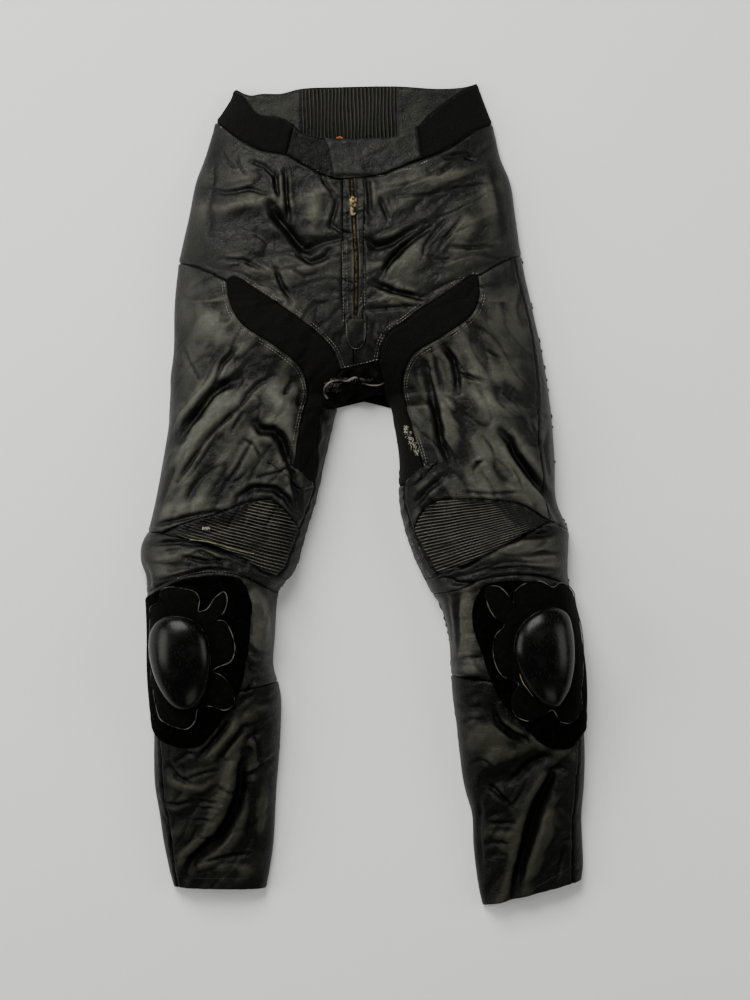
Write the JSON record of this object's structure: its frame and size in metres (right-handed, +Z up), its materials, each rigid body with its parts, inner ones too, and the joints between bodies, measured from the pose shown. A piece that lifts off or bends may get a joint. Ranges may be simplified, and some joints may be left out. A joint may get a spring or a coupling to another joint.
{
  "type": "leather racing trousers",
  "caption": "Empty leather racing trousers laid on their back, with stretch panels, ribbed panels above the knees, a front zip and hard knee sliders.",
  "frame": {"origin": "on the ground, under the middle of the laid garment's overall box", "axes": "+Y runs up the garment to the waist, +Z is up from the ground out of the front of the garment, +X is towards the right of the garment as seen from above"},
  "size_m": [0.5464, 1.0034, 0.0915],
  "materials": {
    "leather": "worn black leather with a grey-olive sheen",
    "stretch": "matte black woven stretch cloth",
    "loop": "matte black loop fabric of a touch fastener",
    "backing": "black cloth with bound edges",
    "slider": "glossy black hard plastic",
    "zip": "worn brass"
  },
  "bodies": {
    "trousers": {"waist_stretch_left": "stretch", "waist_stretch_right": "stretch", "waist_under": "leather", "waist_flap": "leather", "hip_left": "leather", "hip_right": "leather", "fly_tape": "stretch", "fly_tab": "leather", "fly_slider": "zip", "crotch_stretch_left": "stretch", "crotch_stretch_right": "stretch", "crotch_gusset": "stretch", "inner_leg_left": "leather", "inner_leg_right": "leather", "thigh_left": "leather", "thigh_right": "leather", "outer_thigh_right": "leather", "accordion_left": "leather", "accordion_right": "leather", "knee_band_left": "leather", "knee_band_right": "leather", "knee_left": "leather", "knee_right": "leather", "shin_left": "leather", "shin_right": "leather", "outer_calf_left": "leather", "outer_calf_right": "leather", "knee_pad_left": "loop", "knee_pad_right": "loop", "puck_backing_left": "backing", "puck_backing_right": "backing", "puck_left": "slider", "puck_right": "slider", "back_waist_left": "leather", "back_smock": "leather", "back_waist_right": "leather", "seat_left": "leather", "seat_right": "leather", "back_thigh_left": "leather", "back_thigh_right": "leather", "back_knee_left": "stretch", "back_knee_right": "stretch", "back_calf_left": "leather", "back_calf_right": "leather"},
    "fly_pull": {"fly_pull": "zip"}
  },
  "joints": [
    {"name": "pull_hinge", "type": "hinge", "parent": "trousers", "child": "fly_pull", "pos_m": [-0.013, 0.3517, 0.05957], "axis": [-1, 0, 0], "range_deg": [0, 120]}
  ]
}
